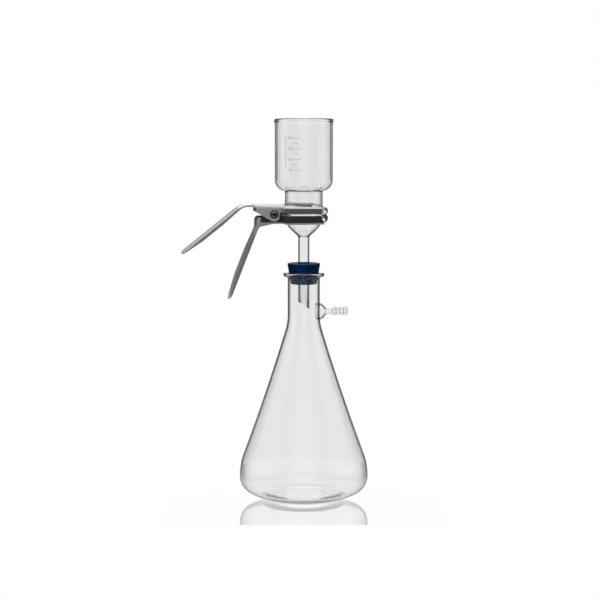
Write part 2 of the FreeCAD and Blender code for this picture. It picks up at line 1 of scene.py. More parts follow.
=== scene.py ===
# %% [markdown]
# Vacuum filtration unit: a graduated glass funnel is clamped to a fritted glass base, whose stem
# goes through a rubber stopper into a side-arm flask. The solids come from CAD as a fixed frame,
# in metres. This lesson dresses them: rubber, frit and metals get their finish as node materials.
# Three kinds of piece are made here anew: the three glass items, turned round their axes from
# outlines, the torsion spring's wire, taken from the frame, and the graduations and figures
# printed on the cup.

# %% Load the frame
import math

import bpy
import numpy as np
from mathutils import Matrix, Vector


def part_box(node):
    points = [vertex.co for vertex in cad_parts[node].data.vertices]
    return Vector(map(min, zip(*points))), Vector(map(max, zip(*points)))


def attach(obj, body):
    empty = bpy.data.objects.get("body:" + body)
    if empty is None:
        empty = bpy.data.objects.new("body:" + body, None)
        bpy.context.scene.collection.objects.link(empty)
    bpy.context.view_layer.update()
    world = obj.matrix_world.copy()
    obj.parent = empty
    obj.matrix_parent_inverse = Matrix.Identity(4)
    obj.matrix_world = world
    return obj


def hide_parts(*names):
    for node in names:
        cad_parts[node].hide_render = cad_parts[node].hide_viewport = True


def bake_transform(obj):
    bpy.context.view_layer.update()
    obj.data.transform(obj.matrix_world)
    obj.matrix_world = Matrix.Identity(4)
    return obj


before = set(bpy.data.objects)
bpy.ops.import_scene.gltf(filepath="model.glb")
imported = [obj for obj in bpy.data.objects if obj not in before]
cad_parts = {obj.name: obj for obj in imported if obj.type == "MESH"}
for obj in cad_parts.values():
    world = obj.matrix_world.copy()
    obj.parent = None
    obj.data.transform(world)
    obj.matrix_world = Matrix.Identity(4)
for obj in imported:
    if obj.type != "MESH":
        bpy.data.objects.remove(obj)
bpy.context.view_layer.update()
millimetre = 0.001

# %% [markdown]
# The camera stands 2.2 m away and looks down by about 7 degrees, as for a catalogue picture of
# tall glassware: from that far the funnel and the flask keep nearly the same scale. It stands
# 8 degrees to the left of the clamp's straight side view, which shows the near wall of each
# jaw and a little of their insides.

# %% Camera
view_turn = math.radians(-8)
camera_distance = 2.225
camera_height = 0.511
look_height = 0.2526
look_aside = -0.0047
focal_length = 107.52
sensor_width = 36


def add_object(name, data):
    """New object with the given data, linked to the scene."""
    thing = bpy.data.objects.new(name, data)
    bpy.context.scene.collection.objects.link(thing)
    return thing


def facing(start, target):
    """Rotation that points the -Z axis from start to target and keeps the Y axis up."""
    return Vector(np.subtract(target, start)).to_track_quat("-Z", "Y").to_euler()


across = np.array([math.cos(view_turn), math.sin(view_turn), 0.0])
away = np.array([-math.sin(view_turn), math.cos(view_turn), 0.0])
eye = -away * camera_distance
eye[2] = camera_height
aim = across * look_aside
aim[2] = look_height

camera_data = bpy.data.cameras.new("camera")
camera_data.lens = focal_length
camera_data.sensor_width = sensor_width
camera_data.clip_start = 0.05
camera_data.clip_end = 20
camera = add_object("camera", camera_data)
camera.location = eye
camera.rotation_euler = facing(eye, aim)
bpy.context.scene.camera = camera
bpy.context.scene.view_settings.view_transform = "Standard"
print("camera at", [round(float(v), 3) for v in eye])

# %% [markdown]
# The world and the materials here are small networks of nodes. One helper adds a node, one
# joins two sockets or sets one to a number, and the others each stand for a step that most
# networks need. So each finish reads as a short list of what its surface does.

# %% Helpers for nodes
def add_node(tree, kind, **settings):
    """Adds a node; a setting that is named like a socket sets it, any other sets the node."""
    node = tree.nodes.new("ShaderNode" + kind)
    for key, value in settings.items():
        if key in node.inputs:
            node.inputs[key].default_value = value
        else:
            setattr(node, key, value)
    return node


def join(tree, given, socket):
    """Links an output to an input socket, or sets that socket to a plain number."""
    if isinstance(given, (int, float)):
        socket.default_value = given
    else:
        tree.links.new(given, socket)


def ramp_between(tree, value, low, high, low_out, high_out):
    """Maps value from low..high to low_out..high_out, with a smooth start and end."""
    node = add_node(tree, "MapRange", interpolation_type="SMOOTHSTEP")
    for socket, given in zip(node.inputs, (value, low, high, low_out, high_out)):
        join(tree, given, socket)
    return node.outputs[0]


def calculate(tree, operation, first, second=0.0, third=0.0):
    """One Math node on sockets or plain numbers."""
    node = add_node(tree, "Math", operation=operation)
    for socket, given in zip(node.inputs, (first, second, third)):
        join(tree, given, socket)
    return node.outputs[0]


def axes(tree, vector):
    """The X, Y and Z of a vector."""
    split = add_node(tree, "SeparateXYZ")
    join(tree, vector, split.inputs[0])
    return split.outputs


# %% [markdown]
# A studio for glass and metal is white behind the object and darker round the camera. The
# world is made that way: what shines through the glass is nearly white on four sides, with
# soft grey bars at the corners between them, and what the surfaces mirror is grey at the
# camera's height, white behind the object and bright overhead. The camera itself sees plain
# white.

# %% World
corner_level, side_level = 0.35, 0.97
corner_end, side_start = -0.6, 0.3
room_level, backdrop_level = 0.2, 1.0
room_end, backdrop_start = 0.985, 0.995
roof_level = 0.95
roof_start, roof_full = 0.35, 0.75

world = bpy.data.worlds.new("studio")
bpy.context.scene.world = world
world.use_nodes = True
sky = world.node_tree
x, y, z = axes(sky, add_node(sky, "TexCoord").outputs["Generated"])
turn = calculate(sky, "ARCTAN2", y, x)
turn = calculate(sky, "SUBTRACT", turn, view_turn + math.pi / 2)

quarters = calculate(sky, "COSINE", calculate(sky, "MULTIPLY", turn, 4))
through = ramp_between(sky, quarters, corner_end, side_start, corner_level, side_level)
ahead = calculate(sky, "COSINE", turn)
behind = ramp_between(sky, ahead, room_end, backdrop_start, room_level, backdrop_level)
roof = ramp_between(sky, z, roof_start, roof_full, 0.0, roof_level)
mirrored = calculate(sky, "MAXIMUM", behind, roof)
half_backdrop = round(math.degrees(math.acos(backdrop_start)), 1)
print("the mirrored backdrop reaches", half_backdrop, "degrees to either side")

# %% Light for each kind of ray
diffuse_level = 0.55
path = add_node(sky, "LightPath")


def pick(kind, otherwise, value):
    """Strength for one kind of ray, and the strength so far for all others."""
    choice = add_node(sky, "Mix", data_type="FLOAT")
    join(sky, path.outputs["Is " + kind + " Ray"], choice.inputs[0])
    join(sky, otherwise, choice.inputs[2])
    join(sky, value, choice.inputs[3])
    return choice.outputs[0]


level = pick("Transmission", mirrored, through)
level = pick("Diffuse", level, diffuse_level)
level = pick("Camera", level, 1.0)
backdrop = sky.nodes["Background"]
join(sky, level, backdrop.inputs["Strength"])
backdrop.inputs["Color"].default_value = (1, 1, 1, 1)
print("world with", len(sky.nodes), "nodes")

# %% [markdown]
# The floor is a small glossy table. Its own light and the mirror image of the white backdrop
# bring it up to white where nothing shades it, so the flask's mirror image and its shadow are
# what shows on it. Its own light is stronger under the flask, which hides the backdrop from
# it. It is hidden from diffuse rays, so it lights no part of the object. In front of the
# table's edge there is only the backdrop.

# %% Floor
half_width = 0.17
front_depth, back_depth = -0.1415, 0.25

table = [
    across * side + away * depth
    for side, depth in (
        (-half_width, front_depth), (half_width, front_depth),
        (half_width, back_depth), (-half_width, back_depth),
    )
]
table_mesh = bpy.data.meshes.new("floor")
table_mesh.from_pydata([corner.tolist() for corner in table], [], [(0, 1, 2, 3)])
floor = add_object("floor", table_mesh)
print("table", 2 * half_width, "m wide and", back_depth - front_depth, "m deep")

# %% Floor's finish
def set_sockets(node, **values):
    """Sets a node's input sockets by name, with _ written for the spaces in a name."""
    for key, value in values.items():
        node.inputs[key.replace("_", " ")].default_value = value


def start_material(name):
    """New material with a Principled shader: the material, its node tree and the shader."""
    material = bpy.data.materials.new(name)
    material.use_nodes = True
    tree = material.node_tree
    return material, tree, tree.nodes["Principled BSDF"]


def object_place(tree):
    """Object coordinates: the place on the surface, in metres."""
    return add_node(tree, "TexCoord").outputs["Object"]


under_radius, open_radius = 0.03, 0.07
under_glow, open_glow = 0.78, 0.56

white_table, tree, shader = start_material("white_table")
set_sockets(
    shader, Base_Color=(0.15, 0.15, 0.15, 1), Roughness=0.03, Emission_Color=(1, 1, 1, 1),
    Coat_Weight=1.0, Coat_Roughness=0.02, Coat_IOR=1.8,
)
distance = add_node(tree, "VectorMath", operation="LENGTH")
join(tree, object_place(tree), distance.inputs[0])
glow = ramp_between(
    tree, distance.outputs["Value"], under_radius, open_radius, under_glow, open_glow
)
diffuse_ray = add_node(tree, "LightPath").outputs["Is Diffuse Ray"]
seen = calculate(tree, "SUBTRACT", 1.0, diffuse_ray)
join(tree, calculate(tree, "MULTIPLY", seen, glow), shader.inputs["Emission Strength"])
table_mesh.materials.append(white_table)
print("table glows", open_glow, "and", under_glow, "under the flask")

# %% [markdown]
# Three large soft lamps: a broad one above and to the left, a weaker one from the right, and a
# top light that brightens the upward faces of the clamp. They are large, so the shadows stay
# soft. They light matt surfaces alone: gloss mirrors the world, and glass shows it, so no lamp
# stands as a hard white square in either.

# %% Lamps
lamp_aim = (0, 0, 0.25)


def soft_lamp(name, place, size, power):
    """Square area lamp at place, as wide as size in metres, that faces the object."""
    data = bpy.data.lights.new(name, "AREA")
    data.shape = "SQUARE"
    data.size = size
    data.energy = power
    lamp = add_object(name, data)
    lamp.location = place
    lamp.rotation_euler = facing(place, lamp_aim)
    lamp.visible_glossy = False
    lamp.visible_transmission = False
    print(name, "gives", power, "W")


soft_lamp("left_lamp", (-1.5, -0.9, 1.4), 1.0, 16)
soft_lamp("right_lamp", (1.6, -0.5, 1.0), 0.9, 7)
soft_lamp("top_lamp", (0.0, 0.5, 1.9), 1.4, 16)

# %% [markdown]
# Clear glass shows itself by its outline. A round wall seen edge-on bends the view out to the
# dark sides of the room, so a dark line runs down each side of a flask. The line could be left
# to the light's path, but it is thin and noisy there. It is given to the glass as a colour
# that depends on how squarely the wall is seen.

# %% Dark line of a glass outline
line_colour = (0.02, 0.022, 0.022)
bore_share = 0.9
least_turn = 3


def line_limit(tree, x, y, z, line, tight):
    """Cosine of view under which a round wall shows its dark line, of the width line.

    On a circle of radius r the outermost width w is seen at a cosine below the root of
    2 w / r, where r is no less than least_turn widths. Beads and tubes are tighter circles
    than their place round the axis tells: tight lists (low, high, past, least), a limit that
    rises to least from the height low to high, at places further along X than past. The
    attribute bore marks the inside of a wall, where hardly any line is left.
    """
    squares = calculate(
        tree, "ADD", calculate(tree, "MULTIPLY", x, x), calculate(tree, "MULTIPLY", y, y)
    )
    radius = calculate(tree, "MAXIMUM", calculate(tree, "SQRT", squares), line * least_turn)
    limit = calculate(tree, "SQRT", calculate(tree, "DIVIDE", line * 2, radius))
    for low, high, past, least in tight:
        rise = ramp_between(tree, z, low, high, 0.0, least)
        beyond = calculate(tree, "GREATER_THAN", x, past)
        limit = calculate(tree, "MAXIMUM", limit, calculate(tree, "MULTIPLY", rise, beyond))
    bore = add_node(tree, "Attribute", attribute_name="bore").outputs["Fac"]
    outer = calculate(tree, "MULTIPLY_ADD", bore, -bore_share, 1.0)
    return calculate(tree, "MULTIPLY", limit, outer)


# %% [markdown]
# Clear glass is never perfectly even: a blown wall has slow waves, and the ground faces
# between base and funnel are milky. The material is glass with a low wave in its surface, and
# its roughness rises on the two ground faces, which lie at one height. A lamp's light passes
# through it almost whole, as it does through a thin wall.

# %% Tones, noise and bumps
def two_tones(tree, share, dark, light):
    """Colour from dark, where share is 0, to light, where it is 1."""
    mix = add_node(tree, "Mix", data_type="RGBA")
    join(tree, share, mix.inputs[0])
    mix.inputs[6].default_value = (*dark, 1)
    mix.inputs[7].default_value = (*light, 1)
    return mix.outputs[2]


def noise(tree, place, scale, detail):
    """Smooth random value about 0.5 that varies scale times to the unit of place."""
    node = add_node(tree, "TexNoise", Scale=scale, Detail=detail)
    join(tree, place, node.inputs["Vector"])
    return node.outputs["Fac"]


def bump(tree, shader, height, depth):
    """Raises the surface by height times depth, in metres, through the shader's normal."""
    node = add_node(tree, "Bump", Strength=1.0, Distance=depth)
    join(tree, height, node.inputs["Height"])
    join(tree, node.outputs["Normal"], shader.inputs["Normal"])


# %% Glass
joint_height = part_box("funnel")[0][2]
glass_ior = 1.473
line_inner, line_outer = 0.85, 1.25
polished_rough, ground_rough = 0.012, 0.32
ground_inner, ground_outer = 0.00002, 0.00012
shadow_share = 0.92


def clear_glass(name, wave_size, wave_depth, tint, line, tight):
    """Borosilicate glass: slow waves of a given size, ground where the two flanges meet.

    The tint is the colour seen straight through. The share is the cosine of view over the
    line's limit, and the colour goes from the line's to the tint where the share passes 1.
    The roughness follows the distance from the height at which the flanges meet.
    """
    material, tree, shader = start_material(name)
    set_sockets(shader, Transmission_Weight=1.0, IOR=glass_ior)
    place = object_place(tree)
    x, y, z = axes(tree, place)
    edge_on = add_node(tree, "LayerWeight", Blend=0.5).outputs["Facing"]
    cosine = calculate(tree, "SUBTRACT", 1.0, edge_on)
    share = calculate(tree, "DIVIDE", cosine, line_limit(tree, x, y, z, line, tight))
    clear = ramp_between(tree, share, line_inner, line_outer, 0.0, 1.0)
    join(tree, two_tones(tree, clear, line_colour, tint), shader.inputs["Base Color"])
    off = calculate(tree, "ABSOLUTE", calculate(tree, "SUBTRACT", z, joint_height))
    rough = ramp_between(tree, off, ground_inner, ground_outer, ground_rough, polished_rough)
    join(tree, rough, shader.inputs["Roughness"])
    bump(tree, shader, noise(tree, place, scale=1 / wave_size, detail=1.0), wave_depth)
    shadow = add_node(tree, "LightPath").outputs["Is Shadow Ray"]
    alpha = calculate(tree, "MULTIPLY_ADD", shadow, -shadow_share, 1.0)
    join(tree, alpha, shader.inputs["Alpha"])
    return material


# %% Three glasses
lip_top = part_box("flask")[1][2]
rim_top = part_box("funnel")[1][2]
bead_low, bead_high = 0.0060, 0.0050
all_round = -1.0
lip_tight = (lip_top - bead_low, lip_top - bead_high, all_round, 0.4)
rim_tight = (rim_top - bead_low, rim_top - bead_high, all_round, 0.45)
arm_low, arm_high = 0.220, 0.224
past_neck = 0.0215
arm_tight = (arm_low, arm_high, past_neck, 0.3)
flask_glass = clear_glass(
    "flask_glass", wave_size=0.045, wave_depth=0.0003, tint=(0.925, 0.93, 0.927),
    line=0.0021, tight=[lip_tight, arm_tight],
)
cup_glass = clear_glass(
    "funnel_glass", wave_size=0.03, wave_depth=0.0001, tint=(0.90, 0.906, 0.903),
    line=0.0013, tight=[rim_tight],
)
base_glass = clear_glass(
    "base_glass", wave_size=0.03, wave_depth=0.0001, tint=(0.93, 0.936, 0.933),
    line=0.0014, tight=[],
)
heights = {"flanges meet": joint_height, "flask's lip": lip_top, "funnel's rim": rim_top}
print({name: round(height / millimetre, 2) for name, height in heights.items()}, "mm")

# %% [markdown]
# Blown and pressed glass is round, and its look depends on how smoothly it bends the light, so
# the three glass items are made here as surfaces of revolution: an outline of arcs and
# straights in the plane of radius and height, turned round the axis. The CAD solids are built
# in the same way, but their faces are flat triangles, which glass would show as facets.
# Outlines are written in millimetres.

# %% Outlines
def bend(centre, radius, start, end, step=5.0):
    """Arc of an outline: the centre plus the radius at angles from start to end, in degrees."""
    count = max(3, int(abs(end - start) / step) + 2)
    angle = np.radians(np.linspace(start, end, count))
    return np.stack((centre[0] + radius * np.cos(angle), centre[1] + radius * np.sin(angle)), 1)


def rounded(centre, radius, start, end):
    """Small rounding: an arc of a few straight steps."""
    return bend(centre, radius, start, end, step=18)


def place_at(centre, radius, degrees):
    """Point of a circle in the plane of the outline."""
    return bend(centre, radius, degrees, degrees)[0]


def outline(*parts):
    """Arcs and single points joined into one line in metres, without repeated points."""
    points = np.vstack([np.atleast_2d(part) for part in parts]) * millimetre
    apart = np.linalg.norm(np.diff(points, axis=0), axis=1) > 1e-7
    return points[np.append(True, apart)]


# %% Surfaces of revolution
turn_steps = 256
sharp_edge = math.radians(35)


def revolved(profile, steps=turn_steps):
    """Grid of a turned surface: each outline point (r, z) goes round as (r cos a, r sin a, z)."""
    angle = np.arange(steps) / steps * 2 * np.pi
    r, z = profile[:, :1], profile[:, 1:]
    return np.stack((r * np.cos(angle), r * np.sin(angle), z + 0 * angle), -1)


def grid_faces(grid, painted_ring_highlight):
    """Quads between neighbours (i, j), (i, j + 1), (i + 1, j + 1) and (i + 1, j) of a grid.

    The grid closes across its columns. A ring also closes from its last row to its first,
    and otherwise both ends get a cap.
    """
    rows, columns = grid.shape[:2]
    i, j = np.meshgrid(np.arange(rows if painted_ring_highlight else rows - 1), np.arange(columns), indexing="ij")
    here, below = i * columns, (i + 1) % rows * columns
    right = (j + 1) % columns
    quads = np.stack((here + j, here + right, below + right, below + j), -1).reshape(-1, 4)
    rim = np.arange(columns)
    caps = [] if painted_ring_highlight else [rim[::-1].tolist(), (rim + (rows - 1) * columns).tolist()]
    return quads.tolist() + caps


def shifted(faces, start):
    """The same faces on points that are numbered from start."""
    return [[corner + start for corner in face] for face in faces]


def make_piece(name, points, faces, material, body, smooth=False):
    """Puts points and faces into a mesh object that rides on a body."""
    mesh = bpy.data.meshes.new(name)
    mesh.from_pydata(np.asarray(points).reshape(-1, 3).tolist(), [], faces)
    mesh.polygons.foreach_set("use_smooth", [smooth] * len(mesh.polygons))
    mesh.set_sharp_from_angle(angle=sharp_edge)
    mesh.materials.append(material)
    piece = add_object(name, mesh)
    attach(piece, body)
    print(name, "has", len(mesh.polygons), "faces")
    return piece


def mark_bore(piece, first, last):
    """Marks rows first..last of a turned surface as the inside of its wall."""
    marks = np.zeros(len(piece.data.vertices))
    marks[first * turn_steps:last * turn_steps] = 1.0
    piece.data.attributes.new("bore", "FLOAT", "POINT").data.foreach_set("value", marks)


# %% [markdown]
# The flanges of funnel and base are alike: thick discs with a barrel-shaped edge, whose ground
# faces meet at one height. The edge is one arc, found from its width and its bulge, so both
# items use the same function. A hair's gap keeps the two ground faces apart.

# %% Flanges
joint_mm = joint_height / millimetre
joint_gap = 0.02
flange_thickness = 9.0
flange_flat_radius = 27.9
flange_bulge = 2.3
flange_turn = 2 * math.degrees(math.atan2(2 * flange_bulge, flange_thickness))
flange_curve = flange_thickness / 2 / math.sin(math.radians(flange_turn))


def flange_edge(low):
    """Barrel-shaped edge of a flange, going up from the height low.

    An arc of chord c that bulges by b turns by 2 atan(2 b / c) to either side of its middle,
    and its radius is c / 2 over the sine of that turn.
    """
    centre = (flange_flat_radius + flange_bulge - flange_curve, low + flange_thickness / 2)
    return bend(centre, flange_curve, -flange_turn, flange_turn)


print("flange edge turns by", round(flange_turn, 1), "degrees to either side")

# %% [markdown]
# The funnel is pressed in one piece: a thick flange with a barrel-shaped edge, a short neck, a
# cup that turns out of the neck with a wide corner, and a bead that stiffens its rim. Its
# lowest and highest places come from the CAD frame.

# %% Funnel
rim_drop = 0.4
bore_foot = 0.5
neck_radius = 23.5
neck_wall = 3.0
neck_fillet = 2.4
neck_length = 20.2
cup_radius = 36.0
cup_wall = 2.2
cup_corner = 13.5
cup_root = 2.0
rim_radius = 36.9
rim_bead = 4.2
rim_lip = 1.2
face_chamfer = 0.4

rim_mm = rim_top / millimetre - rim_drop
flange_top = joint_mm + flange_thickness
cup_mm = flange_top + neck_length
neck_bore = neck_radius - neck_wall
turn_centre = (cup_radius - cup_corner, cup_mm + cup_corner)
reach = cup_corner + cup_root
root_turn = math.degrees(math.acos((neck_radius + cup_root - turn_centre[0]) / reach))
root_centre = place_at(turn_centre, reach, -root_turn)
lip_centre = (cup_radius - cup_wall + rim_lip, rim_mm - rim_lip)
bead_x = rim_radius - rim_bead
lip_turn = math.degrees(math.acos((lip_centre[0] - bead_x) / (rim_bead - rim_lip)))
bead_centre = place_at(lip_centre, rim_bead - rim_lip, 180 + lip_turn)
bead_start = -math.degrees(math.acos((cup_radius - bead_x) / rim_bead))
funnel_outline = outline(
    (neck_bore + face_chamfer, joint_mm + joint_gap),
    (flange_flat_radius, joint_mm + joint_gap),
    flange_edge(joint_mm + joint_gap),
    rounded((neck_radius + neck_fillet, flange_top + neck_fillet), neck_fillet, 270, 180),
    bend(root_centre, cup_root, 180, 180 - root_turn, step=12),
    bend(turn_centre, cup_corner, -root_turn, 0),
    bend(bead_centre, rim_bead, bead_start, lip_turn, step=6),
    bend(lip_centre, rim_lip, lip_turn, 180, step=15),
    bend(turn_centre, cup_corner - cup_wall, 0, -90),
    rounded((turn_centre[0], cup_mm + cup_wall - cup_root), cup_root, 90, 180),
    (neck_bore, joint_mm + bore_foot),
)
print("funnel outline:", len(funnel_outline), "points, rim at", round(rim_mm, 2), "mm")

# %% Funnel's surface
rows_past_rim = 8
grid = revolved(funnel_outline)
funnel = make_piece("funnel_glass_body", grid, grid_faces(grid, True), cup_glass, "unit", True)
highest = int(np.argmax(funnel_outline[:, 1]))
mark_bore(funnel, highest + rows_past_rim, len(funnel_outline))
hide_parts("funnel")

# %% [markdown]
# The base is blown from the same glass: the lower flange, a bowl that narrows as a cone, and a
# stem with a bevelled tip, so that the filtrate runs off on one side. The tip is made by
# lifting the lowest rings of points onto a sloping plane. The frit sits in a shallow seat
# under the ground face.

# %% Filter base
tip_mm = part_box("filter_base")[0][2] / millimetre
base_mm = joint_mm - flange_thickness
frit_low, frit_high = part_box("frit_disc")
seat_gap = 0.02
seat_chamfer = 0.28
seat_radius = frit_high[0] / millimetre + seat_gap
seat_mm = frit_low[2] / millimetre - seat_gap
bowl_radius = 21.3
bowl_curve = 12.0
bowl_flare = 3.5
bowl_lean = 47.0
bowl_wall = 2.8
base_fillet = 1.2
fillet_reach = 2.0
points_over_fillet = 2
stem_radius = 7.0
stem_wall = 1.75
bevel_angle = 34
bevel_rise = math.tan(math.radians(bevel_angle))


def bowl_side(radius, curve, flare, stem):
    """Flare out of the stem, a straight cone, and the rounding up to the flange.

    Both arcs turn by the lean a. Together they take (curve + flare)(1 - cos a) of the way
    from stem to bowl, and the cone takes the rest.
    """
    lean = math.radians(bowl_lean)
    cone = (radius - stem - (curve + flare) * (1 - math.cos(lean))) / math.sin(lean)
    drop = (curve + flare) * math.sin(lean) + cone * math.cos(lean)
    flare_arc = bend((stem + flare, base_mm - drop), flare, 180, 180 - bowl_lean)
    return np.vstack((flare_arc, bend((radius - curve, base_mm), curve, -bowl_lean, 0)))


stem_bore = stem_radius - stem_wall
bowl_bore = bowl_radius - bowl_wall
outer_bowl = bowl_side(bowl_radius, bowl_curve, bowl_flare, stem_radius)
inner_bowl = bowl_side(bowl_bore, bowl_curve - bowl_wall, bowl_flare + stem_wall, stem_bore)
base_outline = outline(
    (stem_bore, tip_mm),
    (stem_radius, tip_mm),
    outer_bowl[:-points_over_fillet],
    rounded((bowl_radius + fillet_reach, base_mm - base_fillet), base_fillet, 180, 90),
    flange_edge(base_mm),
    (seat_radius + seat_chamfer, joint_mm - joint_gap),
    (seat_radius, joint_mm - joint_gap - seat_chamfer),
    (seat_radius, seat_mm),
    (bowl_bore, seat_mm),
    inner_bowl[::-1],
)
print("base outline:", len(base_outline), "points, tip at", round(tip_mm, 2), "mm")

# %% Filter base's surface
tip_rows = 2
grid = revolved(base_outline)
grid[:tip_rows, :, 2] += (stem_radius * millimetre - grid[:tip_rows, :, 0]) * bevel_rise
filter_base = make_piece("base_glass_body", grid, grid_faces(grid, True), base_glass, "unit", True)
mark_bore(filter_base, len(base_outline) - len(inner_bowl), len(base_outline))
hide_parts("filter_base")

# %% [markdown]
# The flask is blown into a mould. From a flat foot its underside curves slowly out to a tight
# heel, the belly leans into a slightly hollow side, and the shoulder runs up into the neck. The
# lip is a bead of glass, and the bore opens there to take the stopper's taper. The same
# outline, moved inwards by the wall, makes the hollow, whose floor is thicker.

# %% Flask's outline
flask_top = lip_top / millimetre
flask_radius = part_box("flask")[1][1] / millimetre
flask_wall = 2.5
floor_thickness = 6.2
underside_curve = 97.8
heel_radius = 21.2
heel_turn = 62.7
belly_radius = 79.8
side_low = 20.3
side_high = 16.9
shoulder_radius = 69.9
flask_neck = 20.1


def flask_side(inset, lowest):
    """Underside, heel, belly, side and shoulder, moved into the glass by inset.

    Each arc starts where the last one ends and with its direction. The underside's arc is cut
    off level at the height lowest, which leaves the flat foot or the floor.
    """
    widest = underside_curve - (underside_curve - heel_radius) * math.sin(math.radians(heel_turn))
    heel = (flask_radius - heel_radius, widest)
    belly = (flask_radius - belly_radius, widest)
    under = place_at(heel, heel_radius - underside_curve, -heel_turn)
    foot_turn = math.degrees(math.acos((underside_curve - lowest) / (underside_curve - inset)))
    belly_top = place_at(belly, belly_radius, side_low)
    low_cosine, high_cosine = (math.cos(math.radians(a)) for a in (side_low, side_high))
    shoulder_foot = flask_neck + shoulder_radius * (1 - high_cosine)
    flank_curve = (belly_top[0] - shoulder_foot) / (high_cosine - low_cosine)
    flank = place_at(belly_top, flank_curve, side_low)
    shoulder = place_at(place_at(flank, -flank_curve, side_high), shoulder_radius, side_high)
    return np.vstack((
        bend(under, underside_curve - inset, foot_turn - 90, -heel_turn, step=3),
        bend(heel, heel_radius - inset, -heel_turn, 0),
        bend(belly, belly_radius - inset, 0, side_low, step=2),
        bend(flank, -(flank_curve + inset), side_low, side_high, step=0.3),
        bend(shoulder, -(shoulder_radius + inset), side_high, 0, step=2),
    ))


outer_side = flask_side(0.0, 0.0)
inner_side = flask_side(flask_wall, floor_thickness)
print("flask's shoulder ends at", round(float(outer_side[-1][1]), 1), "mm")

# %% Flask's lip and body
stopper_at_mouth = 18.65
mouth_gap = 0.12
stopper_taper = 0.16
lip_radius = 25.7
lip_height = 4.8
lip_fillet = 3.5
lip_bead = lip_height / 2
mouth_radius = stopper_at_mouth + mouth_gap
flask_bore = flask_neck - flask_wall
taper_depth = (mouth_radius - flask_bore) / stopper_taper
mouth_rows = 2

lip_foot = (flask_neck + lip_fillet, flask_top - lip_height - lip_fillet)
flask_outline = outline(
    outer_side,
    rounded(lip_foot, lip_fillet, 180, 90),
    bend((lip_radius - lip_bead, flask_top - lip_bead), lip_bead, -90, 90, step=12),
    (mouth_radius, flask_top),
    (flask_bore, flask_top - taper_depth),
    inner_side[::-1],
)
body_grid = revolved(flask_outline)
print("flask outline:", len(flask_outline), "points")

# %% [markdown]
# The hose arm grows out of a blown boss on the neck: a tube with four ribs that grip the hose.
# It is an outline too, turned round its own axis. The turned grid is first made upright, and
# then its coordinates are passed on by one place, which lays its axis along X.

# %% Hose arm
arm_height = 238.0
boss_radius = 11.0
boss_depth = 2.9
boss_x = flask_neck - boss_depth
arm_radius = 3.9
arm_wall = 1.4
arm_blend = 3.0
arm_root = 2.0
arm_start = flask_neck - arm_root
arm_steps = 96
rib_count = 4
rib_pitch = 4.8
rib_rise = 1.4
rib_end = 55.1


def arm_side(inset):
    """Boss from the neck's wall out to the tube: a bulging arc, then a hollow one.

    The two arcs touch where the line between their centres crosses them.
    """
    dome, tube, blend = boss_radius - inset, arm_radius - inset, arm_blend + inset
    run = math.sqrt((dome + blend) ** 2 - (tube + blend) ** 2)
    lift = math.degrees(math.atan2(tube + blend, run))
    start = math.degrees(math.acos((arm_start - boss_x) / dome))
    arc = bend((boss_x, 0), dome, start, lift, step=8)
    hollow = bend((boss_x + run, tube + blend), blend, 180 + lift, 270, step=12)
    return np.vstack((arc, hollow))[:, ::-1]


rib_run = np.array([0.0, 0.35, 0.5, 0.65, 1.0])
rib_shape = np.array([0.0, 0.85, 1.0, 0.85, 0.0])
rib_starts = rib_end + rib_pitch * (np.arange(rib_count)[:, None] - rib_count)
rib_places = rib_starts + rib_pitch * rib_run
rib_heights = arm_radius + rib_rise * rib_shape + 0 * rib_places
ribs = np.stack((rib_heights, rib_places), -1).reshape(-1, 2)
arm_outline = outline(
    arm_side(0.0), ribs, (arm_radius - arm_wall, rib_end), arm_side(arm_wall)[::-1]
)
arm_grid = np.roll(revolved(arm_outline, arm_steps), 1, axis=-1)
arm_grid += np.array([0, 0, arm_height * millimetre])
print("hose arm from", round(arm_start, 1), "to", rib_end, "mm along X")

# %% Flask's surface
points = np.vstack((body_grid.reshape(-1, 3), arm_grid.reshape(-1, 3)))
faces = grid_faces(body_grid, False)
faces += shifted(grid_faces(arm_grid, True), body_grid.size // 3)
flask = make_piece("flask_glass_body", points, faces, flask_glass, "unit", True)
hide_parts("flask")
mark_bore(flask, len(flask_outline) - len(inner_side) - mouth_rows, len(flask_outline))

# %% [markdown]
# The frit is crushed glass sintered into a porous disc. It scatters light like packed snow, so it
# is a white, rough solid with a fine grain, and painted shade darkens it in its pores.

# %% Frit
def dress(node_name, material):
    """Gives a CAD node its finish in every material slot that its object has."""
    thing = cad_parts[node_name]
    if not thing.material_slots:
        thing.data.materials.append(material)
    for slot in thing.material_slots:
        slot.material = material
    print(node_name, "wears", material.name, "with", len(material.node_tree.nodes), "nodes")


grains_per_metre = 1600
frit, tree, shader = start_material("sintered_glass")
grains = add_node(tree, "TexVoronoi", Scale=grains_per_metre)
join(tree, object_place(tree), grains.inputs["Vector"])
from_pore = grains.outputs["Distance"]
# Painted shade in the pores.
tone = ramp_between(tree, from_pore, 0.0, 0.7, 0.0, 1.0)
colour = two_tones(tree, tone, (0.70, 0.71, 0.70), (0.86, 0.86, 0.84))
join(tree, colour, shader.inputs["Base Color"])
set_sockets(shader, Roughness=0.75, Subsurface_Weight=0.3, Subsurface_Scale=0.002)
bump(tree, shader, from_pore, 0.0002)
dress("frit_disc", frit)

# %% [markdown]
# The stopper is moulded rubber, navy and nearly matt. Mould rubber shows a fine orange-peel grain
# and a faint bloom that lightens it in patches. Painted shade darkens the two sides of the
# stopper, where it turns away from the light, and a painted highlight lightens one stripe in
# front.

# %% Rubber
def scaled(tree, colour, factor):
    """Colour multiplied by factor."""
    node = add_node(tree, "VectorMath", operation="SCALE")
    join(tree, colour, node.inputs[0])
    join(tree, factor, node.inputs["Scale"])
    return node.outputs[0]


front_half, side_half = 0.011, 0.019
highlight_x = -0.007
highlight_half, highlight_fade = 0.002, 0.006
side_shade_tone, highlight_tone = 0.45, 1.7

